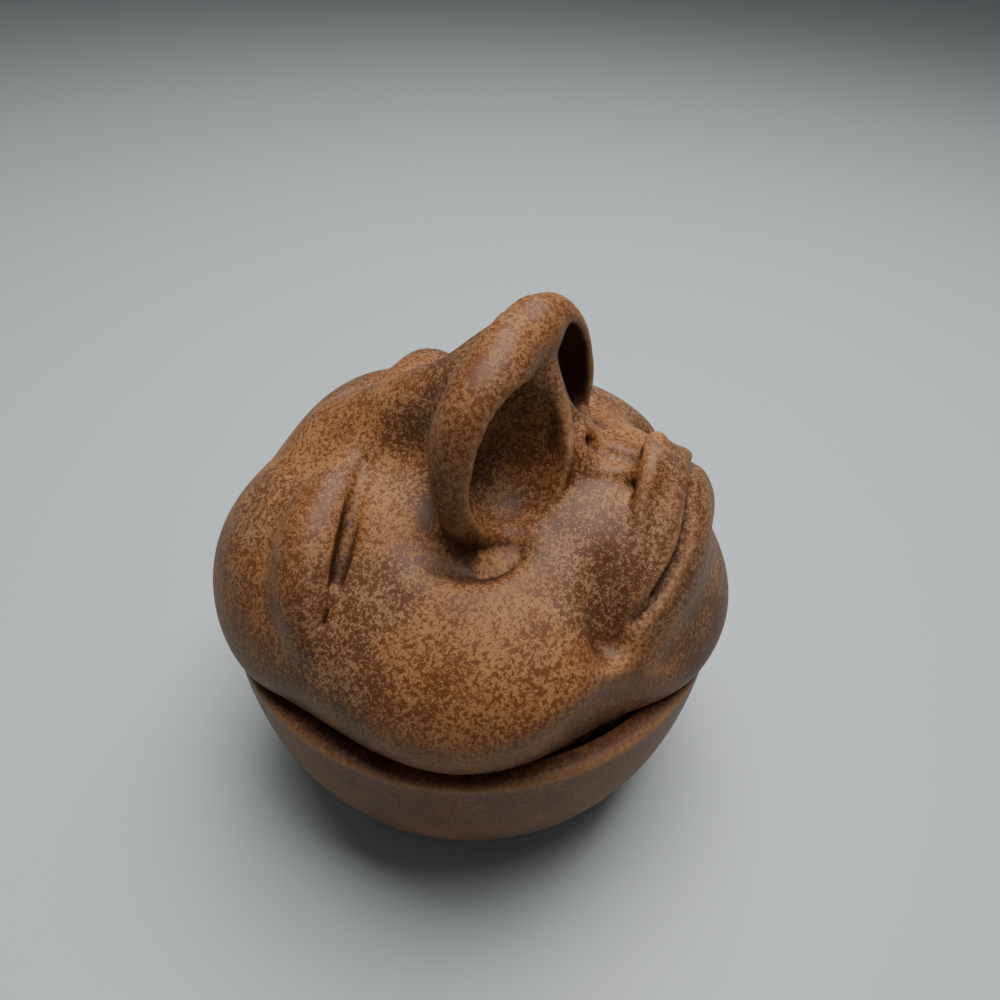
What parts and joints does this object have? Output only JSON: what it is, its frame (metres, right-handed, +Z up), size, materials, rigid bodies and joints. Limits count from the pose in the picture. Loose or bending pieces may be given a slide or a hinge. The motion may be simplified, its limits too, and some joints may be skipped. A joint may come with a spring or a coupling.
{
  "type": "lidded ceramic face jar",
  "caption": "Round turned stoneware bowl with a hollow lift-off lid modelled as a sleeping, big-nosed face that looks up.",
  "frame": {"origin": "middle of the bowl's foot, on the surface that the jar stands on", "axes": "+Z up, the way the face looks; -Y towards the chin, +Y towards the forehead; X across the face"},
  "size_m": [0.1698, 0.172, 0.1822],
  "materials": {
    "brown_glaze": "satin to matte brown glaze over stoneware, thickly speckled with tan and dark umber"
  },
  "bodies": {
    "bowl": {"bowl": "brown_glaze"},
    "lid": {"face_lid": "brown_glaze"}
  },
  "joints": [
    {"name": "lid_lift", "type": "slide", "parent": "bowl", "child": "lid", "axis": [0, 0, 1], "range_m": [0, 0.12]}
  ]
}
